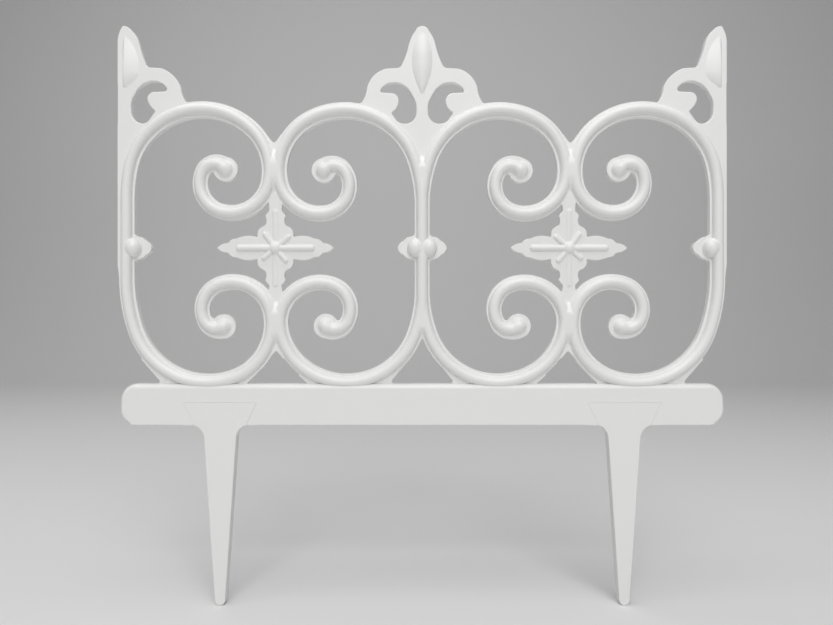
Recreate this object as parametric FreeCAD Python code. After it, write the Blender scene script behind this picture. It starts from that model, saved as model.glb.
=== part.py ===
"""White garden edging fence: two bays of C scrolls on a ground rail with two stakes.

Millimetres. X runs along the fence, Z is up, the decorated face looks toward -Y.
The origin is the middle of the rail's underside, so the stakes reach below z = 0.
"""
import FreeCAD
import Part
import math
import os

os.makedirs("parts", exist_ok=True)
V = FreeCAD.Vector

# Depths, measured from the flat back to the crest of the round ornament.
DEPTH = 4.7
PLATE = 2.4
BACK = DEPTH / 2
FACE = BACK - PLATE
CREST = -DEPTH / 2

# Layout along the fence.
STILE_X = 116.2
EDGE_X = 3.8
END_X = STILE_X + EDGE_X
LEAF_X = 57.8
LEAF_Z = 69.45

# Cutting blocks stand this far clear of what they cut; nothing reaches CLEAR_Z.
CLEAR = 2.0
CLEAR_Z = 200.0

# Scroll bar: a flat ribbon with a half-round bead on it.
RIBBON = 6.3
BEAD_R = 2.3
CURL_PLATE_R = 4.8
CURL_BALL_R = 2.8

# Half of one scroll: its straight run along the stile, then radius and sweep of each
# tangent arc as far as the curl. Upper and lower halves start on the leaf line.
INNER_UPPER = (17.1, [(55.5, 17.6), (29.4, 98.6), (23.0, 74.6), (15.8, 93.9), (10.6, 105.9), (5.3, 103.1)])
INNER_LOWER = (17.0, [(50.8, 19.2), (28.5, 102.1), (24.0, 51.6), (15.7, 115.6), (10.4, 96.4), (5.8, 102.3)])
OUTER_UPPER = (19.7, [(67.3, 9.2), (28.9, 122.6), (22.8, 59.4), (15.0, 93.0), (11.5, 98.0), (5.3, 111.1)])
OUTER_LOWER = (11.8, [(65.4, 18.3), (30.0, 93.3), (22.5, 78.8), (15.3, 100.5), (10.4, 91.3), (5.7, 93.5)])
SCROLLS = {"inner": (INNER_UPPER, INNER_LOWER), "outer": (OUTER_UPPER, OUTER_LOWER)}
RING_ARCS = 3

# Ground rail.
RAIL_HALF = STILE_X + 1.8
RAIL_TOP = 16.1
RAIL_CORNER = 6.1
RAIL_EDGE = 0.9

# Stakes and their dovetail heads.
STAKE_X = 79.0
HEAD_TOP_Z = 8.9
HEAD_TOP_HALF = 14.4
HEAD_FOOT_HALF = 10.2
NECK_HALF = 6.3
NECK_Z = -5.5
NECK_SWELL = 1.1
NECK_SWELL_Z = -2.1
STAKE_LOW_Z = -68.0
STAKE_LOW_HALF = 2.1
TIP_Z = -70.4
TIP_BEVEL = 1.6
TIP_RISE = 4.8

# Thin webs in the corners where bars part or meet the rail.
FOOT_X = {"inner": 28.9, "outer": 30.1}
FOOT_HALF = 16.8
FOOT_HEIGHT = 3.5
FORK_Z = 34.6
PINCH_X = {"upper": 58.2, "lower": 57.8}
UPPER_PINCH_Z = 110.3
LOWER_PINCH_Z = 28.6
WEB_HALF = 7.0

# Leaf cross: upper left quarter of its outline, from the left tip to the pinch above it.
LEAF_QUARTER = [
    ((-23.0, 0.0), None),
    ((-18.5, 1.9), (-21.4, 1.3)),
    ((-15.5, 3.6), (-17.3, 3.3)),
    ((-6.9, 4.2), (-11.5, 4.8)),
    ((-4.2, 8.7), (-6.9, 6.6)),
    ((-4.1, 12.6), (-3.7, 9.8)),
    ((-2.3, 14.6), (-3.4, 13.6)),
    ((-2.6, 16.2), None),
    ((-3.0, 26.0), None),
]
MIDRIB_HALF = 14.3
MIDRIB_R = 1.3
MIDRIB_LIFT = 1.1
SPINE_HALF = 14.0
SPINE_R = 1.9
SPINE_LIFT = 0.45
VEIN_ENDS = [(3.9, 5.3), (-5.2, 4.3), (4.5, -3.9), (-4.2, -4.9)]
VEIN_R = 1.15
VEIN_LIFT = 0.9
LEAF_BALL_R = 2.7
LEAF_BALL_LIFT = 1.9

# Collar of the stiles: right upper quarter of its outline and its balls.
COLLAR_TOP = 6.4
COLLAR_QUARTER = [
    ((2.9, COLLAR_TOP), None),
    ((4.2, 4.4), (3.3, 5.1)),
    ((7.3, 2.8), (5.9, 4.1)),
    ((9.7, 0.0), (9.1, 1.5)),
]
KNOB_X = 2.65
KNOB_R = 3.3
KNOB_STRETCH = 0.6
END_WEDGE = [(-3.8, -COLLAR_TOP), (-2.2, -21.0), (0.0, -21.0), (0.0, -COLLAR_TOP)]

# Finial: right half of its plate, from the tip down to the ring.
FINIAL_HALF = [
    ((0.0, 156.9), None),
    ((2.4, 155.4), (1.5, 156.45)),
    ((5.4, 149.5), (4.2, 152.6)),
    ((8.6, 141.5), (6.7, 145.0)),
    ((10.4, 140.3), (9.3, 140.6)),
    ((13.8, 140.2), None),
    ((22.0, 132.0), (19.5, 137.2)),
    ((24.2, 126.3), (22.7, 129.0)),
    ((27.0, 124.0), None),
    ((27.0, LEAF_Z), None),
]
COMMA = [
    ((15.8, 132.3), (14.0, 131.0)),
    ((3.9, 129.3), (10.2, 134.8)),
    ((2.6, 120.9), (2.2, 124.8)),
    ((11.3, 122.6), (6.9, 118.3)),
    ((8.3, 127.2), (9.3, 125.2)),
    ((11.6, 131.0), (9.3, 130.2)),
]
OUTER_FINIAL_SHIFT = 0.35

# Buds on the finials: the end ones are cut off straight on their axis.
BUD_LIFT = 1.3
BUD_HALF = 3.95
BUD_Z = 141.7
BUD_REACH = 12.3
END_BUD_X = -0.95
END_BUD_HALF = 5.9
END_BUD_Z = 142.6
END_BUD_REACH = 10.4


def line(a, b):
    return Part.makeLine(a, b)


def at(x, z, y=0.0):
    return V(x, y, z)


def moved(shape, x):
    copy = shape.copy()
    copy.translate(V(x, 0, 0))
    return copy


def mirrored(shape):
    return shape.mirror(V(0, 0, 0), V(1, 0, 0))


def slab(x0, x1, z0, z1, front=CREST - CLEAR, back=BACK):
    """Block between two depths; as it stands it reaches past every crest but not the back."""
    return Part.makeBox(x1 - x0, back - front, z1 - z0, V(x0, front, z0))


def outline(points, x=0.0, z=0.0):
    """Closed outline of (corner, middle) pairs: an arc runs through a middle, else a line."""
    edges = []
    for (start, _), (end, middle) in zip(points, points[1:] + points[:1]):
        a = at(start[0] + x, start[1] + z)
        b = at(end[0] + x, end[1] + z)
        if middle:
            edges.append(Part.Arc(a, at(middle[0] + x, middle[1] + z), b).toShape())
        elif a.distanceToPoint(b) > 1e-6:
            edges.append(line(a, b))
    return edges


def polygon(corners, x=0.0, z=0.0):
    return outline([(corner, None) for corner in corners], x, z)


def reflected(points, sx, sz):
    """The same outline walked backwards and mirrored, to close a symmetric one."""
    back = []
    middles = [middle for _, middle in points[1:]] + [None]
    for (corner, _), middle in zip(reversed(points), [None] + middles[-2::-1]):
        turned = (middle[0] * sx, middle[1] * sz) if middle else None
        back.append(((corner[0] * sx, corner[1] * sz), turned))
    return back


def prism(edges, front=FACE, back=BACK):
    """Extrude a closed outline, drawn at y = 0, between two depths."""
    face = Part.Face(Part.Wire(Part.__sortEdges__(edges)))
    solid = face.extrude(V(0, back - front, 0))
    solid.translate(V(0, front, 0))
    return solid


def ball(x, z, radius, lift):
    """Ball whose crest stands `lift` in front of the plate face."""
    return Part.makeSphere(radius, at(x, z, FACE + radius - lift))


def rib(a, b, radius, lift):
    """Round rib from a to b with round ends, standing `lift` in front of the plate face."""
    depth = FACE + radius - lift
    start = at(a[0], a[1], depth)
    end = at(b[0], b[1], depth)
    rod = Part.makeCylinder(radius, start.distanceToPoint(end), start, end - start)
    return rod.fuse([Part.makeSphere(radius, start), Part.makeSphere(radius, end)])


def arc_chain(scroll, side):
    """Tangent arcs of a scroll whose stile is on x = 0; side is 1 above the leaf line, -1 below."""
    run, arcs = scroll
    x, z = 0.0, run
    heading = math.pi / 2
    chain = []
    for radius, sweep in arcs:
        centre_x = x + radius * math.sin(heading)
        centre_z = z - radius * math.cos(heading)
        points = [(x, z)]
        for share in (0.5, 1.0):
            angle = heading - math.radians(sweep) * share
            x = centre_x - radius * math.sin(angle)
            z = centre_z + radius * math.cos(angle)
            points.append((x, z))
        heading -= math.radians(sweep)
        ends = [at(px, LEAF_Z + side * pz) for px, pz in points]
        chain.append((ends, at(centre_x, LEAF_Z + side * centre_z), sweep * side))
    return chain


def bar_section(point, centre):
    """Ribbon and bead across the path at the start of an arc."""
    across = (centre - point).normalize()
    corners = [(-RIBBON / 2, BACK), (-RIBBON / 2, FACE), (-BEAD_R, FACE)]
    corners += [(BEAD_R, FACE), (RIBBON / 2, FACE), (RIBBON / 2, BACK)]
    spots = [point + across * offset + V(0, depth, 0) for offset, depth in corners]
    edges = [line(a, b) for a, b in zip(spots, spots[1:] + spots[:1])]
    edges[2] = Part.Arc(spots[2], point + V(0, CREST, 0), spots[3]).toShape()
    return Part.Face(Part.Wire(edges))


def scroll_bar(scroll, side):
    """Half a scroll, from its stile to the ball in its curl."""
    chain = arc_chain(scroll, side)
    start = at(0, LEAF_Z)
    straight = bar_section(start, start + V(1, 0, 0)).extrude(V(0, 0, side * scroll[0]))
    bars = [straight]
    for ends, centre, sweep in chain:
        bars.append(bar_section(ends[0], centre).revolve(centre, V(0, 1, 0), sweep))
    tip = chain[-1][0][-1]
    bars.append(Part.makeCylinder(CURL_PLATE_R, PLATE, at(tip.x, tip.z, FACE), V(0, 1, 0)))
    bars.append(ball(tip.x, tip.z, CURL_BALL_R, FACE - CREST))
    return bars[0].multiFuse(bars[1:])


def ring_core(upper, lower):
    """Everything inside the centre line of a ring, as a cutting block."""
    edges = []
    starts = []
    ends = []
    for scroll, side in ((upper, 1), (lower, -1)):
        chain = arc_chain(scroll, side)[:RING_ARCS]
        edges += [Part.Arc(*points).toShape() for points, _, _ in chain]
        starts.append(chain[0][0][0])
        ends.append(chain[-1][0][-1])
    edges += [line(*starts), line(*ends)]
    return prism(edges, CREST - CLEAR, BACK + CLEAR)


def leaf_cross(x):
    upper = LEAF_QUARTER + reflected(LEAF_QUARTER, -1, 1)
    plate = prism(outline(upper + reflected(upper, 1, -1), x, LEAF_Z))
    parts = [rib((x - MIDRIB_HALF, LEAF_Z), (x + MIDRIB_HALF, LEAF_Z), MIDRIB_R, MIDRIB_LIFT)]
    parts.append(rib((x, LEAF_Z - SPINE_HALF), (x, LEAF_Z + SPINE_HALF), SPINE_R, SPINE_LIFT))
    for dx, dz in VEIN_ENDS:
        parts.append(rib((x, LEAF_Z), (x + dx, LEAF_Z + dz), VEIN_R, VEIN_LIFT))
    parts.append(ball(x, LEAF_Z, LEAF_BALL_R, LEAF_BALL_LIFT))
    return plate.fuse(parts)


def finial_plate():
    """Finial standing on x = 0, with a comma-shaped hole on each side."""
    plate = prism(outline(FINIAL_HALF + reflected(FINIAL_HALF, -1, 1)))
    hole = prism(outline(COMMA), FACE - CLEAR, BACK + CLEAR)
    return plate.cut([hole, mirrored(hole)])


def bud(x, z, half, reach):
    """Lens-shaped bud that swells from the plate face; half is half its width, reach half its length."""
    radius = (half ** 2 + BUD_LIFT ** 2) / (2 * BUD_LIFT)
    axis_y = FACE + radius - BUD_LIFT
    low = at(x, z - reach, FACE)
    high = at(x, z + reach, FACE)
    low_axis = at(x, low.z, axis_y)
    high_axis = at(x, high.z, axis_y)
    profile = [Part.Arc(low, at(x, z, FACE - BUD_LIFT), high).toShape(), line(high, high_axis)]
    profile += [line(high_axis, low_axis), line(low_axis, low)]
    swelling = Part.Face(Part.Wire(profile)).revolve(at(x, 0, axis_y), V(0, 0, 1), 360)
    return swelling.common(slab(x - half, x + half, low.z, high.z))


def stake(x):
    half = [
        ((HEAD_TOP_HALF, HEAD_TOP_Z), None),
        ((HEAD_FOOT_HALF, 0.0), None),
        ((NECK_HALF, NECK_Z), (NECK_HALF + NECK_SWELL, NECK_SWELL_Z)),
        ((STAKE_LOW_HALF, STAKE_LOW_Z), None),
        ((0.0, TIP_Z), (STAKE_LOW_HALF * 0.75, TIP_Z + 0.7)),
    ]
    body = prism(outline(half + reflected(half, -1, 1), x), CREST)
    behind = BACK + CLEAR
    under = TIP_Z - CLEAR
    rise = TIP_Z + TIP_RISE
    bevel = [(BACK - TIP_BEVEL, under), (behind, under), (behind, rise), (BACK, rise)]
    corners = [at(x - HEAD_TOP_HALF, z, y) for y, z in bevel]
    wedge = Part.Face(Part.makePolygon(corners + corners[:1]))
    return body.cut(wedge.extrude(V(2 * HEAD_TOP_HALF, 0, 0)))


def rail():
    body = Part.makeBox(2 * RAIL_HALF, DEPTH, RAIL_TOP, V(-RAIL_HALF, CREST, 0))
    corners = [e for e in body.Edges if abs(e.BoundBox.YLength - DEPTH) < 1e-6]
    body = body.makeFillet(RAIL_CORNER, corners)
    front = [e for e in body.Edges if e.BoundBox.YMax < CREST + 1e-6]
    return body.makeFillet(RAIL_EDGE, front)


def save(shape, name):
    shape = shape.common(slab(-END_X, END_X, TIP_Z - CLEAR, CLEAR_Z)).removeSplitter()
    if len(shape.Solids) != 1:
        print("solids", name, [round(s.Volume, 3) for s in shape.Solids])
    solid = max(shape.Solids, key=lambda s: s.Volume)
    solid.exportStep("parts/" + name + ".step")


stake_left = stake(-STAKE_X)
stake_right = stake(STAKE_X)
ground_rail = rail()

# Everything round a stile is drawn with the stile on x = 0 and its ring to the right.
collar_half = COLLAR_QUARTER + reflected(COLLAR_QUARTER, 1, -1)
collar_plan = collar_half + reflected(collar_half, -1, 1)
end_plan = collar_half + [((-EDGE_X, -COLLAR_TOP), None), ((-EDGE_X, COLLAR_TOP), None)]
plans = {"inner": collar_plan, "outer": end_plan}
knob_ends = [(KNOB_X, LEAF_Z + KNOB_STRETCH * side) for side in (1, -1)]
knob = rib(*knob_ends, KNOB_R, KNOB_R)
left_sides = {"inner": 0.0, "outer": -EDGE_X}
pinches = {
    "inner": PINCH_X,
    "outer": {level: STILE_X - x for level, x in PINCH_X.items()},
}
numbers = {"inner": (2, 3), "outer": (1, 4)}
bars = {}
collars = {}
finials = {}

for place, scrolls in SCROLLS.items():
    core = ring_core(*scrolls)
    block = prism(outline(plans[place], z=LEAF_Z), CREST - CLEAR, BACK + CLEAR)
    collar = prism(outline(plans[place], z=LEAF_Z)).fuse(knob)
    finial = finial_plate()
    if place == "inner":
        finial = finial.fuse(bud(0, BUD_Z, BUD_HALF, BUD_REACH))
    else:
        half_bud = bud(END_BUD_X, END_BUD_Z, END_BUD_HALF, END_BUD_REACH)
        half_bud = half_bud.common(slab(END_BUD_X, END_BUD_X + END_BUD_HALF, 0, CLEAR_Z))
        finial = moved(finial.fuse(half_bud), -OUTER_FINIAL_SHIFT)
    for scroll, side, level in zip(scrolls, (1, -1), ("upper", "lower")):
        bar = scroll_bar(scroll, side)
        bars[place, level] = bar
        far = pinches[place][level]
        if side > 0:
            webs = [slab(far - WEB_HALF, far, UPPER_PINCH_Z - WEB_HALF, UPPER_PINCH_Z, FACE)]
            finial = finial.cut([bar, core, block])
        else:
            foot = FOOT_X[place]
            webs = [slab(far - WEB_HALF, far, LOWER_PINCH_Z, LOWER_PINCH_Z + WEB_HALF, FACE)]
            webs.append(slab(foot - FOOT_HALF, foot + FOOT_HALF, RAIL_TOP, RAIL_TOP + FOOT_HEIGHT, FACE))
            if place == "inner":
                webs.append(slab(0, WEB_HALF, FORK_Z, LEAF_Z, FACE))
            else:
                webs.append(prism(polygon(END_WEDGE, z=LEAF_Z)))
        part = bar.fuse([web.cut(core) for web in webs])
        part = part.common(slab(left_sides[place], far, 0, CLEAR_Z))
        collar = collar.fuse(part.common(block))
        part = part.cut(block)
        if place == "inner":
            left, right = mirrored(part), part
        else:
            left = moved(part, -STILE_X)
            right = mirrored(left)
        for number, shape in zip(numbers[place], (left, right)):
            save(shape.cut(ground_rail), f"scroll_{level}_{number}")
    collars[place] = collar
    finials[place] = finial.common(slab(left_sides[place], STILE_X, 0, CLEAR_Z))

save(collars["inner"].fuse(mirrored(collars["inner"])), "collar_center")
save(finials["inner"].fuse(mirrored(finials["inner"])), "finial_center")
for parts, name in ((collars, "collar"), (finials, "finial")):
    end_left = moved(parts["outer"], -STILE_X)
    save(end_left, name + "_left")
    save(mirrored(end_left), name + "_right")

leaf = leaf_cross(LEAF_X)
for (place, _), bar in bars.items():
    leaf = leaf.cut(bar if place == "inner" else moved(mirrored(bar), STILE_X))
save(leaf, "leaf_cross_right")
save(mirrored(leaf), "leaf_cross_left")

save(stake_left, "stake_left")
save(stake_right, "stake_right")
save(ground_rail.cut([stake_left, stake_right]), "ground_rail")
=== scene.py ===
"""Looks of the white garden edging fence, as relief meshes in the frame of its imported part.

Lengths in here are millimetres until a mesh is made. X runs along the fence, Z is up and the
decorated face looks toward -Y. The ornament is drawn once for x >= 0 and mirrored.
"""

import math

import bpy
import numpy as np
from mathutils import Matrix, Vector
from mathutils.geometry import delaunay_2d_cdt
from mathutils.kdtree import KDTree


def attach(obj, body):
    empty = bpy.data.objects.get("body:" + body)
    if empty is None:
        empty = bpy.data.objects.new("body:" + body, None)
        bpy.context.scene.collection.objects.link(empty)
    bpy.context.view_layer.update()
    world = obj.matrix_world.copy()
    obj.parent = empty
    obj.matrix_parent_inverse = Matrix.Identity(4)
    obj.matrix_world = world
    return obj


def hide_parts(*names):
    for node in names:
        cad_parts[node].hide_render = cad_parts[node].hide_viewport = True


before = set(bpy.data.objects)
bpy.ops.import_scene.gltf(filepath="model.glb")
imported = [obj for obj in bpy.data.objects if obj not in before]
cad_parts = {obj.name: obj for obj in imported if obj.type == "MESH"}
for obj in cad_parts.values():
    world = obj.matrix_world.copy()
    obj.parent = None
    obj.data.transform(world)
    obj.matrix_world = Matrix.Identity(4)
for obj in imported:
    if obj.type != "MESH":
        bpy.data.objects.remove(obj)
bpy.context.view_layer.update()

MM = 0.001

# Depths of the flat back and of the plate that carries the round ornament.
BACK = 2.35
FACE = -0.05

# Layout: the end stile's axis, its reach beyond it, the leaf cross and a height above all.
STILE_X = 116.2
EDGE_X = 3.8
END_X = STILE_X + EDGE_X
LEAF_X = 57.8
LEAF_Z = 69.45
ABOVE_Z = 160.0

# Scroll bars: a ribbon with a half-round bead. Each half scroll is a straight run along its
# stile and tangent arcs of (radius, sweep in degrees), from the leaf line to the curl. The
# ribbon reaches outward and inward of its turn by one width at the start, one at the end of the
# run and one after each arc. The last outward width is CURL_OUT, one for each bar. The curl's
# plate and ball lie off the bar's tip by CURL_SHIFT.
RIBBON_OUT = (3.2, 3.2, 3.15, 3.05, 3.1, 3.05, 3.0)
RIBBON_IN = np.array((3.0, 3.0, 3.2, 3.35, 3.25, 3.1, 3.0, 3.0))
BEAD_HALF = 2.15
BEAD_R = 2.3
BEAD_FILLET = 0.5
CURL_PLATE_R = 4.85
CURL_BALL_HALF = 3.05
CURL_OUT = (4.7, 4.85, 4.2, 4.85)
CURL_SHIFT = [(0.47, -0.35), (0.0, 0.0), (-0.6, -0.67), (0.0, 0.0)]
INNER_UPPER = (17.1, [(55.5, 17.6), (29.4, 98.6), (23.0, 74.6),
                      (15.8, 93.9), (10.6, 105.9), (5.3, 103.1)])
INNER_LOWER = (17.0, [(50.8, 19.2), (28.5, 102.1), (24.0, 51.6),
                      (15.7, 115.6), (10.4, 96.4), (5.8, 102.3)])
OUTER_UPPER = (19.7, [(67.3, 9.2), (28.9, 122.6), (22.8, 59.4),
                      (15.0, 93.0), (11.5, 98.0), (5.3, 111.1)])
OUTER_LOWER = (11.8, [(65.4, 18.3), (30.0, 93.3), (22.5, 78.8),
                      (15.3, 100.5), (10.4, 91.3), (5.7, 93.5)])
RING_ARCS = 3

# Beads are one broad bead where their centre lines are closer than MERGED, and two from PARTED on.
MERGED, PARTED = 3.5, 6.2
MERGED_AREAS = [(55.2, 61.0, 29.0, 50.0), (55.2, 61.6, 88.0, 111.0), (0.2, 3.4, 33.5, 48.0),
                (0.2, 3.4, 92.0, 112.0), (112.8, 116.2, 33.5, 46.0)]

# Reach of the soft creases where two round forms meet.
BEAD_CREASE = 0.8
CURL_CREASE = 1.2
RIB_CREASE = 0.3
LEAF_BALL_CREASE = 0.4
COLLAR_CREASE = 0.6

# Ground rail and stakes. The ornament's feet reach down to SUNK_Z inside the rail. The rail's
# edge radius grows from RAIL_EDGE to RAIL_TOP_EDGE above RAIL_EDGE_Z.
RAIL_HALF = 118.0
RAIL_TOP = 16.1
SUNK_Z = 15.2
RAIL_CORNER = 6.1
RAIL_FRONT = -2.1
RAIL_EDGE = 1.3
RAIL_TOP_EDGE = 2.0
RAIL_EDGE_Z = 8.0
RAIL_FOOT_EDGE = 0.4
JOINT_EDGE = 0.13
STAKE_EDGE = 0.45
STAKE_X = 79.0
HEAD_TOP_Z = 8.9
HEAD_TOP_HALF = 14.4
HEAD_FOOT_HALF = 10.2
NECK_HALF = 6.3
NECK_Z = -5.5
NECK_ARC = (1.1, 3.4)
STAKE_LOW_Z = -68.0
STAKE_LOW_HALF = 2.1
TIP_Z = -70.4
TIP_ARC_SHARE = 0.75
TIP_ARC_RISE = 0.7
TIP_BEVEL = 1.6
TIP_RISE = 4.8

# Thin webs: at the feet, in the fork of the centre stile, at the pinches and over the leaves.
# An outline is a list of corners, each with the middle of the arc that leads to it or None.
FOOT_WEBS = [
    [((4.9, 25.9), None), ((11.73, 17.48), None), ((11.07, RAIL_TOP), (11.84, 16.58)),
     ((11.07, SUNK_Z), None), ((45.2, SUNK_Z), None), ((45.2, RAIL_TOP), None),
     ((49.0, 19.5), None), ((20.0, 26.0), None)],
    [((5.2, 25.8), None), ((12.55, 17.45), None), ((11.95, RAIL_TOP), (12.72, 16.6)),
     ((11.95, SUNK_Z), None), ((47.3, SUNK_Z), None), ((47.3, RAIL_TOP), None),
     ((51.4, 20.2), None), ((20.0, 26.0), None)],
]
FORK_Z = 33.7
PINCH_WEBS = [
    [(55.0, 104.0), (62.0, 104.0), (61.4, 114.3), (60.7, 113.3), (59.5, 111.8), (58.7, 111.0),
     (58.1, 111.0), (57.3, 111.8), (56.3, 113.3), (55.6, 114.3)],
    [(55.0, 34.0), (54.4, 25.4), (55.9, 27.1), (56.9, 28.4), (57.4, 28.8), (57.6, 28.8),
     (58.1, 28.4), (59.1, 27.1), (60.7, 25.4), (60.0, 34.0)],
]
LEAF_WEB = (4.5, 15.95, 22.0)
WEB_HALF = 7.0

# Edge radius of the ornament's front. It is larger round the comma holes: within the first
# length of a stile and between the two heights.
EDGE_R = 0.28
COMMA_EDGE_R = 0.5
COMMA_AREA = (16.5, 118.5, 134.5)

# Lengths over which an outline's sharp corners are curved.
CONVEX = 0.35
CONCAVE = 0.9
MOULD_CORNER = 0.15
NO_MIRROR = 1e9

STEP = 0.75
TURN = math.radians(8)

LEAF_QUARTER = [
    ((-23.0, 0.0), None),
    ((-18.5, 1.9), (-21.4, 1.3)),
    ((-15.5, 3.6), (-17.3, 3.3)),
    ((-6.9, 4.2), (-11.5, 4.8)),
    ((-4.2, 8.7), (-6.9, 6.6)),
    ((-4.1, 12.6), (-3.7, 9.8)),
    ((-2.3, 14.6), (-3.4, 13.6)),
    ((-2.6, 16.2), None),
    ((-3.0, 26.0), None),
]

# The leaf's ribs are half length, half width and rise; a vein and the ball half width and rise.
MIDRIB = (14.3, 1.3, 1.1)
SPINE = (14.2, 1.25, 0.45)
VEINS = [(3.9, 5.3), (-5.15, 4.3), (4.5, -3.9), (-4.15, -4.9)]
VEIN = (1.15, 0.9)
LEAF_BALL = (2.65, 1.9)

COLLAR_TOP = 6.4
COLLAR_QUARTER = [
    ((2.9, COLLAR_TOP), None),
    ((4.2, 4.4), (3.3, 5.1)),
    ((7.3, 2.8), (5.9, 4.1)),
    ((9.7, 0.0), (9.1, 1.5)),
]

# The collar's balls: distance from the stile, then half width, half height and rise.
COLLAR_BALL_X = 2.65
COLLAR_BALL = (3.25, 3.88, 3.27)
END_WEDGE = [(-3.8, -COLLAR_TOP), (-2.2, -21.0), (0.0, -21.0), (0.0, -COLLAR_TOP)]

FINIAL_HALF = [
    ((0.0, 156.9), None),
    ((2.6, 155.1), (1.45, 156.55)),
    ((5.3, 149.5), (4.3, 152.4)),
    ((8.1, 141.5), (6.4, 145.6)),
    ((9.9, 140.35), (8.8, 140.7)),
    ((14.2, 140.1), None),
    ((21.8, 132.5), (19.0, 137.4)),
    ((24.2, 126.3), (22.6, 129.0)),
    ((27.0, 124.0), None),
    ((27.0, LEAF_Z), None),
]
COMMA = [
    ((16.5, 131.6), (16.3, 130.95)),
    ((11.0, 134.6), (14.5, 133.5)),
    ((4.1, 129.6), (6.7, 133.0)),
    ((2.4, 123.2), (2.6, 126.4)),
    ((7.0, 118.4), (3.7, 119.7)),
    ((9.5, 118.95), None),
    ((12.15, 122.7), None),
    ((9.2, 126.9), (10.1, 124.4)),
    ((12.0, 130.55), (9.8, 129.3)),
    ((15.7, 130.7), None),
]
END_COMMA = [
    ((15.5, 132.4), (15.5, 131.7)),
    ((9.4, 135.2), (13.0, 134.6)),
    ((3.1, 130.0), (5.4, 133.2)),
    ((1.7, 123.7), (1.75, 127.0)),
    ((6.3, 118.5), (3.0, 119.9)),
    ((7.9, 118.95), None),
    ((11.1, 123.4), None),
    ((8.0, 127.3), (9.1, 125.2)),
    ((11.2, 131.0), (8.6, 130.1)),
    ((14.7, 131.2), None),
]
END_FINIAL = [
    ((-EDGE_X, 149.8), None),
    ((-1.75, 156.9), (-3.2, 154.0)),
    ((1.2, 155.7), (-0.1, 156.6)),
    ((4.85, 149.8), (3.4, 153.2)),
    ((7.3, 142.2), (5.85, 146.2)),
    ((9.4, 140.5), (8.0, 141.0)),
    ((13.3, 140.3), None),
    ((21.2, 132.5), (18.3, 137.2)),
    ((23.6, 126.3), (22.0, 129.2)),
    ((26.6, 124.0), None),
    ((26.6, LEAF_Z), None),
    ((-EDGE_X, LEAF_Z), None),
]

# Buds: axis, half width, lift, lowest point, start and end of the full width, end of the fade
# and how fast the width grows. The end bud is cut along its axis and rises over CUT_RAMP.
BUD = (0.0, 3.95, 1.35, 129.7, 141.6, 144.5, 154.5, 1.6)
END_BUD = (1.5, 6.1, 1.3, 132.3, 138.9, 140.5, 153.5, 2.0)
CUT_RAMP = 0.7

# Sample points: the ring round a bud's lowest point and the grid where two beads merge.
BUD_RING = 1.4
GRID = 0.55

# The photograph's camera, from its perspective.
CAMERA = (-2.24, FACE - 246.3, 44.04)
LENS = 27.05


def arc_points(start, middle, end):
    """Points after start, up to and with end, on the arc through three points."""
    (ax, az), (bx, bz), (cx, cz) = start, middle, end
    d = 2 * (ax * (bz - cz) + bx * (cz - az) + cx * (az - bz))
    sa, sb, sc = ax * ax + az * az, bx * bx + bz * bz, cx * cx + cz * cz
    ox = (sa * (bz - cz) + sb * (cz - az) + sc * (az - bz)) / d
    oz = (sa * (cx - bx) + sb * (ax - cx) + sc * (bx - ax)) / d
    radius = math.hypot(ax - ox, az - oz)
    first = math.atan2(az - oz, ax - ox)
    sweep = (math.atan2(cz - oz, cx - ox) - first) % math.tau
    if (math.atan2(bz - oz, bx - ox) - first) % math.tau > sweep:
        sweep -= math.tau
    count = max(2, math.ceil(abs(sweep) * radius / STEP), math.ceil(abs(sweep) / TURN))
    angles = first + sweep * np.arange(1, count + 1) / count
    return np.column_stack((ox + radius * np.cos(angles), oz + radius * np.sin(angles)))


def line_points(start, end):
    count = max(1, math.ceil(math.dist(start, end) / STEP))
    share = np.arange(1, count + 1)[:, None] / count
    return np.array(start) * (1 - share) + np.array(end) * share


def traced(outline):
    """Closed polyline of (corner, middle) pairs: an arc runs through a middle, else a line."""
    rows = []
    for (start, _), (end, middle) in zip(outline, outline[1:] + outline[:1]):
        if middle:
            rows.append(arc_points(start, middle, end))
        elif math.dist(start, end) > 1e-6:
            rows.append(line_points(start, end))
    return np.vstack(rows)


def polygon(corners):
    return traced([(corner, None) for corner in corners])


def block(x0, x1, z0, z1):
    return polygon([(x0, z0), (x1, z0), (x1, z1), (x0, z1)])


def area(loop):
    """Area of a closed polyline, positive if it runs anticlockwise."""
    x, z = loop[:, 0], loop[:, 1]
    return float(np.sum(x * np.roll(z, -1) - z * np.roll(x, -1))) / 2


def reflected(outline, sx, sz):
    """The same outline walked backwards and mirrored, to close a symmetric one."""
    back = []
    middles = [middle for _, middle in outline[1:]] + [None]
    for (corner, _), middle in zip(reversed(outline), [None] + middles[-2::-1]):
        turned = (middle[0] * sx, middle[1] * sz) if middle else None
        back.append(((corner[0] * sx, corner[1] * sz), turned))
    return back


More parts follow.
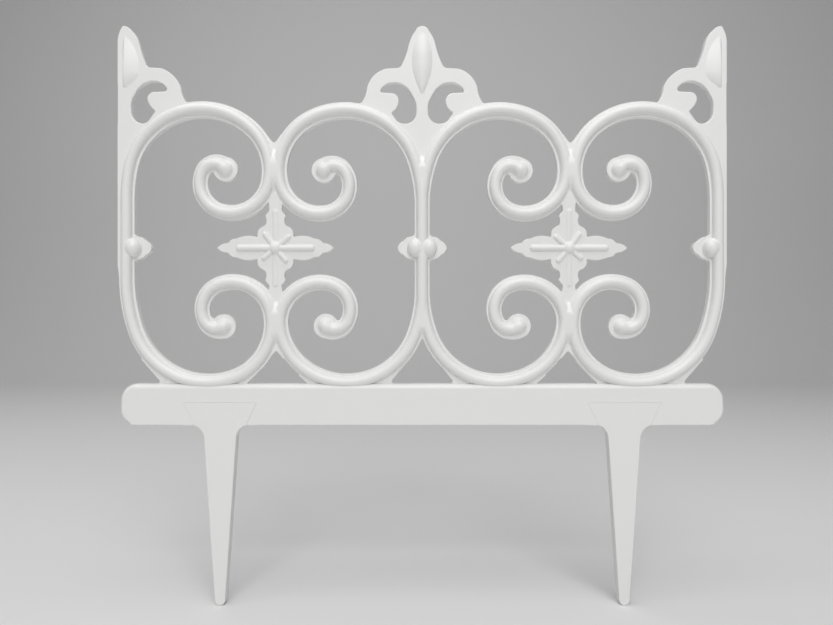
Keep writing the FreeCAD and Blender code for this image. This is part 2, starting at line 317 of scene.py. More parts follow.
class Bar:
    """Half a scroll, from its stile at x0 to its curl. hand and side mirror it."""

    def __init__(self, scroll, side, x0, hand):
        self.side, self.x0, self.hand = side, x0, hand
        self.run = scroll[0]
        self.arcs = []
        x, z, heading = 0.0, self.run, math.pi / 2
        for radius, sweep in scroll[1]:
            sweep = math.radians(sweep)
            cx = x + radius * math.sin(heading)
            cz = z - radius * math.cos(heading)
            self.arcs.append((cx, cz, radius, heading, sweep))
            heading -= sweep
            x = cx - radius * math.sin(heading)
            z = cz + radius * math.cos(heading)
        self.local_tip = np.array([x, z])
        self.tip = self.placed(self.local_tip[None])[0]

    def placed(self, local):
        return np.column_stack((self.x0 + self.hand * local[:, 0],
                                LEAF_Z + self.side * local[:, 1]))

    def row(self, offset, arcs=None):
        """Points along the bar, outward of its turn by one offset or by one at each joint."""
        stops = np.broadcast_to(offset, (len(self.arcs) + 2,))
        count = math.ceil(self.run / STEP)
        share = np.arange(count + 1) / count
        rows = [np.column_stack((-stops[0] * (1 - share) - stops[1] * share, self.run * share))]
        for arc, near, far in zip(self.arcs[:arcs], stops[1:], stops[2:]):
            cx, cz, radius, heading, sweep = arc
            count = max(2, math.ceil(sweep * radius / STEP), math.ceil(sweep / TURN))
            share = np.arange(1, count + 1) / count
            angles = heading - sweep * share
            reach = radius + near * (1 - share) + far * share
            rows.append(np.column_stack((cx - reach * np.sin(angles), cz + reach * np.cos(angles))))
        return self.placed(np.vstack(rows))

    def nearest(self, points):
        """Distance from the centre line, and the nearest points on it."""
        local_x = (points[:, 0] - self.x0) * self.hand
        local_z = (points[:, 1] - LEAF_Z) * self.side
        best = np.hypot(local_x - self.local_tip[0], local_z - self.local_tip[1])
        foot = np.tile(self.local_tip, (len(points), 1))
        on_run = (local_z > -1e-3) & (local_z < self.run + 1e-3) & (np.abs(local_x) < best)
        best[on_run] = np.abs(local_x)[on_run]
        foot[on_run] = np.column_stack((np.zeros(len(points)), local_z))[on_run]
        for cx, cz, radius, heading, sweep in self.arcs:
            dx, dz = local_x - cx, local_z - cz
            rho = np.maximum(np.hypot(dx, dz), 1e-9)
            turned = (heading - np.arctan2(-dx, dz) + 1e-4) % math.tau
            gap = np.where(turned <= sweep + 2e-4, np.abs(rho - radius), 1e6)
            closer = gap < best
            best = np.where(closer, gap, best)
            foot[closer, 0] = (cx + dx * radius / rho)[closer]
            foot[closer, 1] = (cz + dz * radius / rho)[closer]
        return best, self.placed(foot)


# The half panel's stiles with the hand of what grows from them, and its bars.
PLACES = [(0.0, 1), (STILE_X, -1)]
BARS = [Bar(INNER_UPPER, 1, 0.0, 1), Bar(INNER_LOWER, -1, 0.0, 1),
        Bar(OUTER_UPPER, 1, STILE_X, -1), Bar(OUTER_LOWER, -1, STILE_X, -1)]
MIRRORED = [Bar(INNER_UPPER, 1, 0.0, -1), Bar(INNER_LOWER, -1, 0.0, -1)]


def at_place(points, x0, hand, z=0.0):
    return np.column_stack((x0 + hand * points[:, 0], z + points[:, 1]))


def cap(d, half, rise, fillet=0.2):
    """Height of a round section over its plate at distance d from its middle."""
    radius = (half * half + rise * rise) / (2 * rise)
    sink = radius - rise
    reach = math.sqrt((radius + fillet) ** 2 - (sink + fillet) ** 2)
    tangent = reach * radius / (radius + fillet)
    crown = np.sqrt(np.maximum(radius ** 2 - d ** 2, 0)) - sink
    foot = fillet - np.sqrt(np.maximum(fillet ** 2 - (reach - d) ** 2, 0))
    return np.where(d < tangent, crown, np.where(d < reach, foot, 0.0))


def blend(a, b, reach):
    """The greater of two heights, with a soft crease where both rise from the plate."""
    reach = np.maximum(np.minimum(reach, np.minimum(a, b)), 1e-6)
    gap = np.maximum(reach - np.abs(a - b), 0)
    return np.maximum(a, b) + gap * gap / (4 * reach)


def from_segment(points, a, b):
    a, b = np.array(a), np.array(b)
    along = np.clip((points - a) @ (b - a) / ((b - a) @ (b - a)), 0, 1)
    return np.linalg.norm(points - a - along[:, None] * (b - a), axis=1)


def bars_height(points):
    """Beads, merged to one broad bead where two centre lines run close together."""
    first, second = np.full(len(points), 1e3), np.full(len(points), 1e3)
    first_foot, second_foot = points.copy(), points + 1e3
    for bar in BARS + MIRRORED:
        distance, foot = bar.nearest(points)
        ahead = distance < first
        behind = ~ahead & (distance < second)
        second = np.where(ahead, first, np.where(behind, distance, second))
        second_foot = np.where(ahead[:, None], first_foot,
                               np.where(behind[:, None], foot, second_foot))
        first = np.where(ahead, distance, first)
        first_foot = np.where(ahead[:, None], foot, first_foot)
    height = blend(*(cap(d, BEAD_HALF, BEAD_R, BEAD_FILLET) for d in (first, second)), BEAD_CREASE)
    across = second_foot - first_foot
    apart = np.linalg.norm(across, axis=1)
    along = np.sum((points - first_foot) * across, axis=1) / np.maximum(apart, 1e-6) ** 2
    away = np.linalg.norm(points - first_foot - np.clip(along, 0, 1)[:, None] * across, axis=1)
    parted = np.clip((apart - MERGED) / (PARTED - MERGED), 0, 1)
    merged = cap(away, BEAD_HALF, BEAD_R, BEAD_FILLET) * (1 - parted ** 2 * (3 - 2 * parted))
    height = np.maximum(height, merged)
    for bar, shift in zip(BARS, CURL_SHIFT):
        distance = np.linalg.norm(points - bar.tip - shift, axis=1)
        height = blend(height, cap(distance, CURL_BALL_HALF, BEAD_R, BEAD_FILLET), CURL_CREASE)
    return height


def leaf_height(points):
    middle = np.array((LEAF_X, LEAF_Z))
    half, *section = MIDRIB
    height = cap(from_segment(points, middle - (half, 0), middle + (half, 0)), *section)
    half, *section = SPINE
    spine = cap(from_segment(points, middle - (0, half), middle + (0, half)), *section)
    height = blend(height, spine, RIB_CREASE)
    for end in VEINS:
        vein = cap(from_segment(points, middle, middle + end), *VEIN)
        height = blend(height, vein, RIB_CREASE)
    ball = cap(np.linalg.norm(points - middle, axis=1), *LEAF_BALL)
    return blend(height, ball, LEAF_BALL_CREASE)


def egg_distance(points, x):
    wide, tall, _ = COLLAR_BALL
    return wide * np.hypot((points[:, 0] - x) / wide, (points[:, 1] - LEAF_Z) / tall)


def collar_height(points):
    wide, _, rise = COLLAR_BALL
    height = np.zeros(len(points))
    for x in (COLLAR_BALL_X, -COLLAR_BALL_X, STILE_X - COLLAR_BALL_X):
        height = blend(height, cap(egg_distance(points, x), wide, rise), COLLAR_CREASE)
    return height


def bud_half(z, bud):
    _, widest, _, low, start, end, high, power = bud
    grown = np.clip((z - low) / (start - low), 0, 1)
    faded = np.clip((z - end) / (high - end), 0, 1)
    return widest * (1 - (1 - grown) ** power) * (1 - faded ** 2) ** 0.8


def bud_height(points):
    height = np.zeros(len(points))
    for x, bud in ((0.0, BUD), (STILE_X + END_BUD[0], END_BUD)):
        _, widest, lift, _, start, end, high, _ = bud
        half = bud_half(points[:, 1], bud)
        shown = half > 1e-3
        half = np.where(shown, half, 1)
        cut = np.clip((x - points[:, 0]) / CUT_RAMP, 0, 1) if bud is END_BUD else 1.0
        faded = np.clip((points[:, 1] - end) / (high - end), 0, 1)
        crest = lift * np.minimum(half / widest, 1) ** 0.7 * (1 - faded ** 2)
        across = np.minimum(np.abs(points[:, 0] - x) / half, 1)
        height = np.maximum(height, np.where(shown, crest * cut * (2 - cut) * (1 - across ** 2), 0))
    return height


def ornament_height(points):
    height = blend(bars_height(points), collar_height(points), COLLAR_CREASE)
    return np.maximum(np.maximum(height, leaf_height(points)), bud_height(points))


def cdt(points, faces, edges=()):
    flat = [Vector((float(x), float(z))) for x, z in points]
    verts, _, tris, origin, _, inside = delaunay_2d_cdt(flat, list(edges), faces, 0, 1e-4, True)
    return np.array([tuple(v) for v in verts], dtype=float), tris, origin, inside


def ornament_shapes():
    """Closed shapes of the half ornament: always plastic, plastic unless cut, and cuts."""
    solids, fills, cuts = [], [], []
    for bar, shift, reach in zip(BARS, CURL_SHIFT, CURL_OUT):
        outer = np.append(RIBBON_OUT, reach)
        solids.append(np.vstack((bar.row(outer), bar.row(-RIBBON_IN)[::-1])))
        angles = np.arange(0, math.tau, TURN)
        circle = CURL_PLATE_R * np.column_stack((np.cos(angles), np.sin(angles)))
        solids.append(circle + bar.tip + shift)
    upper_leaf = LEAF_QUARTER + reflected(LEAF_QUARTER, -1, 1)
    solids.append(at_place(traced(upper_leaf + reflected(upper_leaf, 1, -1)), LEAF_X, 1, LEAF_Z))
    collar = COLLAR_QUARTER + reflected(COLLAR_QUARTER, 1, -1)
    finials = (traced(FINIAL_HALF + reflected(FINIAL_HALF, -1, 1)), traced(END_FINIAL))
    for (x0, hand), finial, comma, web in zip(PLACES, finials, (COMMA, END_COMMA), FOOT_WEBS):
        solids.append(at_place(traced(collar + reflected(collar, -1, 1)), x0, hand, LEAF_Z))
        fills.append(at_place(finial, x0, hand))
        cuts.append(at_place(traced(comma), x0, hand))
        upper, lower = [bar for bar in BARS if bar.x0 == x0]
        cuts.append(np.vstack((upper.row(0, RING_ARCS), lower.row(0, RING_ARCS)[::-1])))
        fills.append(at_place(traced(web), x0, hand))
    fills.append(at_place(polygon(END_WEDGE), STILE_X, -1, LEAF_Z))
    fills.append(block(-WEB_HALF, WEB_HALF, FORK_Z, LEAF_Z))
    fills.append(block(STILE_X, END_X, LEAF_Z - COLLAR_TOP, LEAF_Z + COLLAR_TOP))
    fills += [polygon(web) for web in PINCH_WEBS]
    half, near, far = LEAF_WEB
    fills.append(block(LEAF_X - half, LEAF_X + half, LEAF_Z + near, LEAF_Z + far))
    fills.append(block(LEAF_X - half, LEAF_X + half, LEAF_Z - far, LEAF_Z - near))
    return solids, fills, cuts


def ornament_loops():
    """Outline loops of the half ornament, plastic on their left."""
    solids, fills, cuts = ornament_shapes()
    window = block(0, END_X, SUNK_Z, ABOVE_Z)
    shapes = [shape if area(shape) > 0 else shape[::-1]
              for shape in solids + fills + cuts + [window]]
    points, faces = [], []
    for shape in shapes:
        faces.append(list(range(len(points), len(points) + len(shape))))
        points.extend(shape)
    first_fill, first_cut, last = len(solids), len(solids) + len(fills), len(shapes) - 1
    verts, tris, _, inside = cdt(points, faces)
    edges = set()
    for tri, names in zip(tris, inside):
        names = set(names)
        solid = any(name < first_fill for name in names)
        filled = any(first_fill <= name < first_cut for name in names)
        cut = any(first_cut <= name < last for name in names)
        if last in names and (solid or (filled and not cut)):
            edges.update((tri[i], tri[i - 2]) for i in range(3))
    return [verts[loop] for loop in walked(edges)]


def walked(edges):
    """Closed walks along the directed edges that have no opposite one."""
    after = {}
    for a, b in edges:
        if (b, a) not in edges:
            after.setdefault(a, []).append(b)
    loops = []
    while after:
        start = min(after)
        loop = [start]
        spot = after[start].pop()
        if not after[start]:
            del after[start]
        while spot != start:
            loop.append(spot)
            step = after[spot].pop()
            if not after[spot]:
                del after[spot]
            spot = step
        loops.append(loop)
    return loops


def softened(loop, mirror_x=0.0, convex=CONVEX, concave=CONCAVE):
    """Curve a closed polyline at its sharp corners, and drop points too close together."""
    keep = [loop[0]]
    for point in loop[1:]:
        if np.linalg.norm(point - keep[-1]) > 0.1:
            keep.append(point)
    if np.linalg.norm(keep[-1] - keep[0]) <= 0.1:
        keep.pop()
    loop = np.array(keep)
    step = np.roll(loop, -1, 0) - loop
    length = np.linalg.norm(step, axis=1)
    heading = np.arctan2(step[:, 1], step[:, 0])
    turn = (heading - np.roll(heading, 1) + math.pi) % math.tau - math.pi
    on_mirror = np.abs(loop[:, 0] - mirror_x) < 1e-3
    corners = [i for i in range(len(loop)) if abs(turn[i]) > math.radians(20) and not on_mirror[i]]
    place = np.concatenate(([0.0], np.cumsum(length)))
    total = place[-1]

    def spot(s):
        s = s % total
        return np.array([np.interp(s, place, np.append(loop[:, k], loop[0, k])) for k in (0, 1)])

    curves, gone = [], np.zeros(len(loop), bool)
    stops = [(i, 0.45) for i in corners] + [(i, 1.0) for i in np.flatnonzero(on_mirror)]
    for i in corners:
        reach = convex if turn[i] > 0 else concave
        others = [(place[j], share) for j, share in stops if j != i]
        back = min([reach] + [share * ((place[i] - other) % total) for other, share in others])
        ahead = min([reach] + [share * ((other - place[i]) % total) for other, share in others])
        shift = (place[:-1] - place[i] + total / 2) % total - total / 2
        gone |= (shift > -back - 0.08) & (shift < ahead + 0.08)
        a, b, c = spot(place[i] - back), loop[i], spot(place[i] + ahead)
        count = max(2, math.ceil(abs(turn[i]) / math.radians(15)))
        for j in range(count + 1):
            t = j / count
            point = a * (1 - t) ** 2 + b * 2 * t * (1 - t) + c * t * t
            if abs(point[0] - mirror_x) > 1e-3:
                curves.append(((place[i] - back + (back + ahead) * t) % total, point))
    rest = [(place[i], loop[i]) for i in range(len(loop)) if not gone[i] or on_mirror[i]]
    return np.array([point for _, point in sorted(rest + curves, key=lambda item: item[0])])


class Rim:
    """Outline loops with their outward normals and how far a point lies inside them."""

    def __init__(self, loops, radius, mirror_x):
        self.points = np.vstack(loops)
        self.after = np.zeros(len(self.points), int)
        start = 0
        for loop in loops:
            index = np.arange(len(loop))
            self.after[start + index] = start + (index + 1) % len(loop)
            start += len(loop)
        self.before = np.argsort(self.after)
        step = self.points[self.after] - self.points
        side = np.column_stack((step[:, 1], -step[:, 0]))
        side /= np.linalg.norm(side, axis=1)[:, None]
        self.real = np.ones(len(self.points), bool)
        if mirror_x is not None:
            flat = np.abs(self.points[:, 0] - mirror_x) < 1e-3
            self.real = ~(flat & flat[self.after])
        weight = self.real[:, None].astype(float)
        normal = side * weight + (side * weight)[self.before]
        if mirror_x is not None:
            normal[flat, 0] = 0
        size = np.linalg.norm(normal, axis=1)
        self.on_rim = size > 1e-6
        self.normal = normal / np.maximum(size, 1e-6)[:, None]
        self.radius = radius(self.points)
        self.tree = KDTree(len(self.points))
        for i in np.flatnonzero(self.real):
            middle = (self.points[i] + self.points[self.after[i]]) / 2
            self.tree.insert((middle[0], middle[1], 0), int(i))
        self.tree.balance()
        self.longest = float(np.linalg.norm(step[self.real], axis=1).max())
        self.faces = []
        start = 0
        for loop in loops:
            self.faces.append((list(range(start, start + len(loop))), area(loop) > 0))
            start += len(loop)

    def insets(self, shares):
        """Rows inside the rim at shares of its edge radius, and how deep each point should lie."""
        rows, depths = [], []
        for share in shares:
            shown = self.on_rim & ((share == 1) | (self.radius * share > 0.03))
            depth = self.radius[shown] * share
            rows.append(self.points[shown] - self.normal[shown] * depth[:, None])
            depths.append(depth)
        return np.vstack(rows), np.concatenate(depths)

    def depth(self, points, reach):
        """Distance inside the rim, outward direction and edge radius of points near the rim."""
        gaps = np.full(len(points), 1e6)
        ways = np.zeros((len(points), 2))
        radii = np.zeros(len(points))
        within = reach + self.longest / 2 + 0.01
        for n, point in enumerate(points):
            for _, i, _ in self.tree.find_range((point[0], point[1], 0), within):
                a, b = self.points[i], self.points[self.after[i]]
                t = min(max(((point - a) @ (b - a)) / ((b - a) @ (b - a)), 0), 1)
                away = a + t * (b - a) - point
                gap = math.hypot(*away)
                if gap < gaps[n]:
                    gaps[n] = gap
                    ways[n] = away / gap if gap > 1e-6 else self.normal[i]
                    radii[n] = self.radius[i] * (1 - t) + self.radius[self.after[i]] * t
        return gaps, ways, radii


def sheet(rim, extra):
    """Triangles over the plan, with the rim's own points first and in their order."""
    points = np.vstack((rim.points, extra))
    faces = [ids if outer else ids[::-1] for ids, outer in rim.faces]
    verts, tris, origin, inside = cdt(points, faces)
    outer = {n for n, (_, is_outer) in enumerate(rim.faces) if is_outer}
    keep = [tri for tri, names in zip(tris, inside)
            if outer & set(names) and not set(names) - outer]
    order = np.full(len(verts), -1)
    for v, sources in enumerate(origin):
        own = [s for s in sources if s < len(rim.points)]
        if own:
            order[v] = min(own)
    free = order < 0
    order[free] = len(rim.points) + np.arange(free.sum())
    placed = np.zeros((len(rim.points) + int(free.sum()), 2))
    placed[:len(rim.points)] = rim.points
    placed[order] = verts
    return placed, order[np.array(keep)]


def relief(name, loops, rows, height, front, back_at, radius, shares, mirror_x=None,
           back_radius=0.2):
    """A moulding with a relief on its front and walls round its outline.

    height, back_at and radius give the relief, the back and the front's edge radius at points.
    shares are the parts of that radius where rows of the rounded edge lie.
    """
    rim = Rim(loops, radius, mirror_x)
    rim_count = len(rim.points)
    reach = float(rim.radius.max()) * 1.12 + 0.05
    gaps, _, radii = rim.depth(rows, reach)
    rows = rows[gaps > np.maximum(radii * 1.15, 0.05)]
    insets, depths = rim.insets(shares)
    gaps, _, _ = rim.depth(insets, reach)
    insets = insets[gaps > depths * 0.9]
    extra = np.vstack((insets, rows))
    _, first = np.unique(np.round(extra / 0.05).astype(int), axis=0, return_index=True)
    extra = extra[np.sort(first)]
    if mirror_x is not None:
        extra = extra[extra[:, 0] > mirror_x + 0.12]
    plan, tris = sheet(rim, extra)

    gaps, ways, radii = rim.depth(plan, reach)
    gaps[:rim_count][rim.real | rim.real[rim.before]] = 0
    ways[:rim_count] = rim.normal
    radii[:rim_count] = rim.radius
    tilt = np.maximum(1 - gaps / np.maximum(radii, 1e-6), 0)
    near = tilt > 0.04
    tilt = np.where(near, tilt, 0)
    drop = np.where(near, radii * (1 - np.sqrt(np.maximum(1 - tilt ** 2, 0))), 0)
    lift = height(plan)
    small = 0.02
    slope_x = (height(plan + (small, 0)) - height(plan - (small, 0))) / (2 * small)
    slope_z = (height(plan + (0, small)) - height(plan - (0, small))) / (2 * small)
    base = np.column_stack((-slope_x, -np.ones(len(plan)), -slope_z))
    base /= np.linalg.norm(base, axis=1)[:, None]
    out = np.column_stack((ways[:, 0], np.zeros(len(plan)), ways[:, 1]))
    normals = base * np.sqrt(np.maximum(1 - tilt ** 2, 0))[:, None] + out * tilt[:, None]
    if mirror_x is not None:
        normals[np.abs(plan[:, 0] - mirror_x) < 1e-3, 0] = 0
    verts = np.column_stack((plan[:, 0], front - lift + drop, plan[:, 1]))

    back_insets = rim.points - rim.normal * back_radius
    back_insets = back_insets[rim.on_rim]
    gaps, _, _ = rim.depth(back_insets, back_radius + 0.05)
    back_insets = back_insets[gaps > back_radius * 0.9]
    if mirror_x is not None:
        back_insets = back_insets[back_insets[:, 0] > mirror_x + 0.12]
    flat, flat_tris = sheet(rim, back_insets)
    edge = np.zeros(len(flat), bool)
    edge[:rim_count] = rim.real | rim.real[rim.before]
    back_y = back_at(flat) - np.where(edge, back_radius, 0)
    back_verts = np.column_stack((flat[:, 0], back_y, flat[:, 1]))
    back_normals = np.tile((0.0, 1.0, 0.0), (len(flat), 1))
    back_normals[:rim_count][edge[:rim_count]] = np.column_stack(
        (rim.normal[:, 0], np.zeros(rim_count), rim.normal[:, 1]))[edge[:rim_count]]

    shift = len(verts)
    faces = [tuple(t) for t in tris] + [tuple(t[::-1]) for t in flat_tris + shift]
    for i in np.flatnonzero(rim.real):
        j = rim.after[i]
        faces.append((int(i), int(i + shift), int(j + shift), int(j)))
    verts = np.vstack((verts, back_verts))
    normals = np.vstack((normals, back_normals))
    if mirror_x is not None:
        flat_side = np.abs(verts[:, 0] - mirror_x) < 1e-3
        verts[flat_side, 0] = mirror_x
        other = np.arange(len(verts))
        other[~flat_side] = len(verts) + np.arange((~flat_side).sum())
        twin = verts[~flat_side] * (-1, 1, 1)
        faces += [tuple(int(other[v]) for v in reversed(face)) for face in faces]
        verts = np.vstack((verts, twin))
        normals = np.vstack((normals, normals[~flat_side] * (-1, 1, 1)))
    mesh = bpy.data.meshes.new(name)
    mesh.from_pydata((verts * MM).tolist(), [], [tuple(int(v) for v in f) for f in faces])
    mesh.validate()
    mesh.polygons.foreach_set("use_smooth", [True] * len(mesh.polygons))
    normals /= np.maximum(np.linalg.norm(normals, axis=1), 1e-9)[:, None]
    mesh.normals_split_custom_set_from_vertices(normals.tolist())
    piece = bpy.data.objects.new(name, mesh)
    bpy.context.collection.objects.link(piece)
    return piece


def ring_of(centre, half, shares, tall=1.0):
    rows = [np.array([centre])]
    for share in shares:
        count = max(8, math.ceil(math.tau * half * share / (STEP * 0.7)))
        angles = np.arange(count) * math.tau / count
        ring = half * share * np.column_stack((np.cos(angles), tall * np.sin(angles)))
        rows.append(ring + centre)
    return np.vstack(rows)


def stadium(a, b, half, shares):
    """Rows beside a rib and round its ends."""
    a, b = np.array(a, float), np.array(b, float)
    way = (b - a) / np.linalg.norm(b - a)
    side = np.array((-way[1], way[0]))
    count = max(2, math.ceil(np.linalg.norm(b - a) / STEP))
    spine = a + (b - a) * np.arange(count + 1)[:, None] / count
    rows = [spine]
    for share in shares:
        rows += [spine + side * half * share, spine - side * half * share]
        angles = np.arange(1, 8) * math.pi / 8
        turn = half * share * (np.cos(angles)[:, None] * side + np.sin(angles)[:, None] * way)
        rows += [b + turn, a - turn]
    return np.vstack(rows)


def ornament_rows():
    rows = []
    middle = np.array((LEAF_X, LEAF_Z))
    shares = (0.3, 0.55, 0.75, 0.9, 1.0, 1.12)
    spine_shares = (0.5, 0.85, 1.0, 1.15)
    rows.append(ring_of(middle, LEAF_BALL[0], shares))
    for end in VEINS:
        rows.append(stadium(middle, middle + end, VEIN[0], shares))
    rows.append(stadium(middle - (MIDRIB[0], 0), middle + (MIDRIB[0], 0), MIDRIB[1], shares))
    rows.append(stadium(middle - (0, SPINE[0]), middle + (0, SPINE[0]), SPINE[1], spine_shares))
    wide, tall, _ = COLLAR_BALL
    fine = (0.12, 0.25, 0.38, 0.5, 0.62, 0.72, 0.81, 0.88, 0.94, 0.98, 1.02, 1.07)
    for x in (COLLAR_BALL_X, STILE_X - COLLAR_BALL_X):
        rows.append(ring_of(np.array((x, LEAF_Z)), wide, fine, tall / wide))
    for bar, shift in zip(BARS, CURL_SHIFT):
        rows.append(ring_of(bar.tip + shift, CURL_BALL_HALF, fine))
    across = np.array((0, 0.08, 0.2, 0.35, 0.5, 0.65, 0.8, 0.92, 0.99, 1.04))
    ramp = np.array((0.6, 0.25, 0.02, -0.1, -0.22, -0.36, -0.52, -CUT_RAMP, -CUT_RAMP - 0.2))
    for x, bud in ((0.0, BUD), (STILE_X + END_BUD[0] - 0.02, END_BUD)):
        for z in np.arange(bud[3] + 0.15, bud[6], STEP * 0.8):
            half = float(bud_half(np.array([z]), bud)[0])
            rows.append(np.column_stack((x - across * half, np.full(len(across), z))))
            rows.append(np.column_stack((x + across * half, np.full(len(across), z))))
            rows.append(np.array([(x - half - 0.35, z), (x + half + 0.35, z)]))
            if bud is END_BUD:
                rows.append(np.column_stack((x + ramp, np.full(len(ramp), z))))
        rows.append(ring_of(np.array((x, bud[3])), BUD_RING, (0.2, 0.4, 0.7, 1.0)))
    offsets = (0, 0.55, 1.05, 1.45, 1.75, 1.95, 2.07, 2.13, 2.2, 2.3, 2.45, 2.63)
    for bar in BARS:
        for offset in offsets:
            rows.append(bar.row(offset))
            if offset:
                rows.append(bar.row(-offset))
    for x0, x1, z0, z1 in MERGED_AREAS:
        grid = np.meshgrid(np.arange(x0, x1, GRID), np.arange(z0, z1, GRID))
        rows.append(np.column_stack([axis.ravel() for axis in grid]))
    points = np.vstack(rows)
    return points[(points[:, 0] > 0.1) & (points[:, 0] < END_X) & (points[:, 1] > SUNK_Z)]


def plain_front(points):
    return np.zeros(len(points))


def plain_back(points):
    return np.full(len(points), BACK)


def rail_outline():
    c, r = RAIL_HALF, RAIL_CORNER
    k = r * (1 - math.sqrt(0.5))
    outline = [((c - r, 0.0), None), ((c, r), (c - k, k)), ((c, RAIL_TOP - r), None),
               ((c - r, RAIL_TOP), (c - k, RAIL_TOP - k)), ((r - c, RAIL_TOP), None),
               ((-c, RAIL_TOP - r), (k - c, RAIL_TOP - k)), ((-c, r), None),
               ((r - c, 0.0), (k - c, k))]
    for x in (-STAKE_X, STAKE_X):
        outline += [((x - HEAD_FOOT_HALF, 0.0), None), ((x - HEAD_TOP_HALF, HEAD_TOP_Z), None),
                    ((x + HEAD_TOP_HALF, HEAD_TOP_Z), None), ((x + HEAD_FOOT_HALF, 0.0), None)]
    return softened(traced(outline), NO_MIRROR, MOULD_CORNER, MOULD_CORNER)


def rail_edge(points):
    x, z = np.abs(points[:, 0]), points[:, 1]
    notch = (np.abs(x - STAKE_X) < HEAD_TOP_HALF + 0.1) & (z < HEAD_TOP_Z + 0.1)
    plain = np.interp(z, (RAIL_EDGE_Z, RAIL_TOP), (RAIL_EDGE, RAIL_TOP_EDGE))
    return np.where(notch, JOINT_EDGE, np.where(z < 0.5, RAIL_FOOT_EDGE, plain))


def stake_outline(x):
    half = [
        ((HEAD_TOP_HALF, HEAD_TOP_Z), None),
        ((HEAD_FOOT_HALF, 0.0), None),
        ((NECK_HALF, NECK_Z), (NECK_HALF + NECK_ARC[0], NECK_Z + NECK_ARC[1])),
        ((STAKE_LOW_HALF, STAKE_LOW_Z), None),
        ((0.0, TIP_Z), (STAKE_LOW_HALF * TIP_ARC_SHARE, TIP_Z + TIP_ARC_RISE)),
    ]
    loop = traced(half + reflected(half, -1, 1))[::-1]
    return softened(loop + (x, 0), NO_MIRROR, MOULD_CORNER, MOULD_CORNER)


def ornament_edge(points):
    """Edge radius of the front, larger round the comma holes."""
    x, z = points[:, 0], points[:, 1]
    reach, low, high = COMMA_AREA
    inside = (np.minimum(x, STILE_X - x) < reach) & (z > low) & (z < high)
    return np.where(inside, COMMA_EDGE_R, EDGE_R)


def stake_edge(points):
    return np.where(points[:, 1] > -0.3, JOINT_EDGE, STAKE_EDGE)


def stake_back(points):
    slope = TIP_BEVEL / TIP_RISE
    return BACK - np.maximum(TIP_Z + TIP_RISE - points[:, 1], 0) * slope


loops = [softened(loop) for loop in ornament_loops()]
ornament = relief("ornament", loops, ornament_rows(), ornament_height, FACE, plain_back,
                  ornament_edge, (1, 0.293), mirror_x=0.0)
no_rows = np.zeros((0, 2))
wide_shares = (1, 0.617, 0.293, 0.076)
rail = relief("rail", [rail_outline()], no_rows, plain_front, RAIL_FRONT, plain_back, rail_edge,
              wide_shares)
stakes = [relief(name, [stake_outline(x)], no_rows, plain_front, RAIL_FRONT, stake_back,
                 stake_edge, wide_shares)
          for name, x in (("stake_l", -STAKE_X), ("stake_r", STAKE_X))]


def plastic():
    material = bpy.data.materials.new("white_plastic")
    material.use_nodes = True
    nodes, links = material.node_tree.nodes, material.node_tree.links
    shader = nodes["Principled BSDF"]
    shader.inputs["Base Color"].default_value = (0.86, 0.86, 0.85, 1)
    shader.inputs["Roughness"].default_value = 0.36
    shader.inputs["IOR"].default_value = 1.47
    place = nodes.new("ShaderNodeTexCoord")
    grain = nodes.new("ShaderNodeTexNoise")
    grain.inputs["Scale"].default_value = 900
    grain.inputs["Detail"].default_value = 3
    bump = nodes.new("ShaderNodeBump")
    bump.inputs["Strength"].default_value = 0.06
    bump.inputs["Distance"].default_value = 0.0002
    links.new(place.outputs["Object"], grain.inputs["Vector"])
    links.new(grain.outputs["Fac"], bump.inputs["Height"])
    links.new(bump.outputs["Normal"], shader.inputs["Normal"])
    return material


white = plastic()
scrolls = [f"scroll_{half}_{n}" for half in ("upper", "lower") for n in (1, 2, 3, 4)]
crests = ["finial_left", "finial_center", "finial_right", "leaf_cross_left", "leaf_cross_right",
          "collar_left", "collar_center", "collar_right"]
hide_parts(*scrolls, *crests)
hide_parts("ground_rail")
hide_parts("stake_left")
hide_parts("stake_right")
for piece in [ornament, rail] + stakes:
    piece.data.materials.append(white)
    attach(piece, "root")


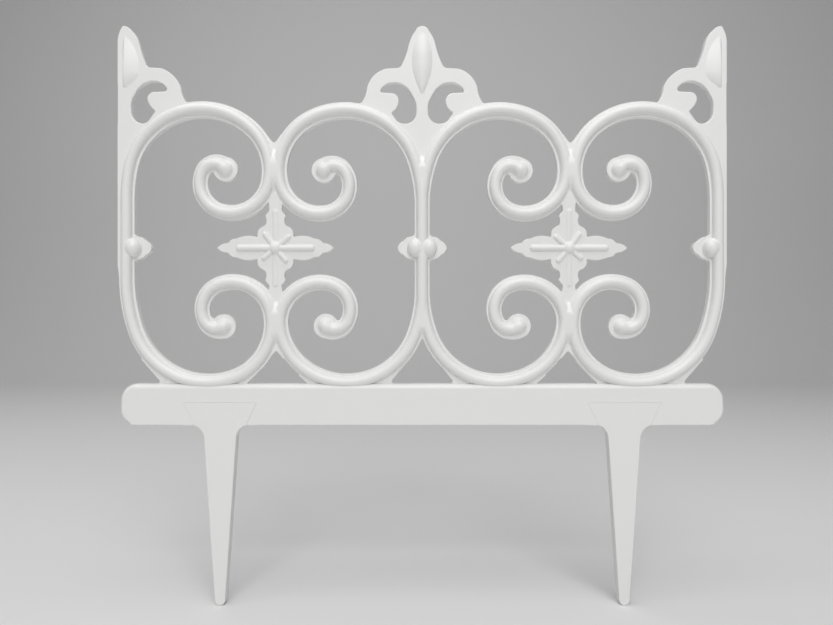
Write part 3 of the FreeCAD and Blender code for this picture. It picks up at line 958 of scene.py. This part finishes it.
def backdrop():
    """A pale floor under the stake tips that curves up well behind the fence."""
    floor_z = TIP_Z * MM
    half, near, bend, radius, top, steps = 2.6, -1.6, 0.75, 0.5, 2.4, 24
    profile = [(near, floor_z), (bend, floor_z)]
    for n in range(1, steps + 1):
        angle = math.radians(90 * n / steps)
        profile.append((bend + radius * math.sin(angle), floor_z + radius * (1 - math.cos(angle))))
    profile.append((bend + radius, floor_z + top))
    verts = [(x, y, z) for y, z in profile for x in (-half, half)]
    faces = [(2 * n, 2 * n + 1, 2 * n + 3, 2 * n + 2) for n in range(len(profile) - 1)]
    mesh = bpy.data.meshes.new("backdrop")
    mesh.from_pydata(verts, [], faces)
    mesh.polygons.foreach_set("use_smooth", [True] * len(mesh.polygons))
    piece = bpy.data.objects.new("backdrop", mesh)
    bpy.context.collection.objects.link(piece)
    paint = bpy.data.materials.new("backdrop")
    paint.use_nodes = True
    shader = paint.node_tree.nodes["Principled BSDF"]
    shader.inputs["Base Color"].default_value = (0.8, 0.8, 0.8, 1)
    shader.inputs["Roughness"].default_value = 0.9
    shader.inputs["Specular IOR Level"].default_value = 0.1
    mesh.materials.append(paint)


def softbox(name, place, aim, size, watts):
    lamp = bpy.data.lights.new(name, "AREA")
    lamp.shape = "RECTANGLE"
    lamp.size, lamp.size_y = size
    lamp.energy = watts
    piece = bpy.data.objects.new(name, lamp)
    piece.location = place
    way = Vector(aim) - Vector(place)
    piece.rotation_euler = way.to_track_quat("-Z", "Y").to_euler()
    bpy.context.collection.objects.link(piece)


backdrop()
softbox("top", (-0.15, -0.25, 1.1), (0, 0, 0.05), (1.3, 0.9), 8)
softbox("front", (0.1, -1.25, 1.0), (0, 0, 0.04), (1.4, 0.8), 12.5)
world = bpy.data.worlds.new("studio")
world.use_nodes = True
world.node_tree.nodes["Background"].inputs["Color"].default_value = (1, 1, 1, 1)
world.node_tree.nodes["Background"].inputs["Strength"].default_value = 0.08
bpy.context.scene.world = world

lens = bpy.data.cameras.new("camera")
lens.sensor_width = 36.0
lens.lens = LENS
lens.clip_start = 0.01
camera = bpy.data.objects.new("camera", lens)
camera.location = [value * MM for value in CAMERA]
camera.rotation_euler = (math.radians(90), 0, 0)
bpy.context.collection.objects.link(camera)
scene = bpy.context.scene
scene.camera = camera
scene.view_settings.view_transform = "Standard"
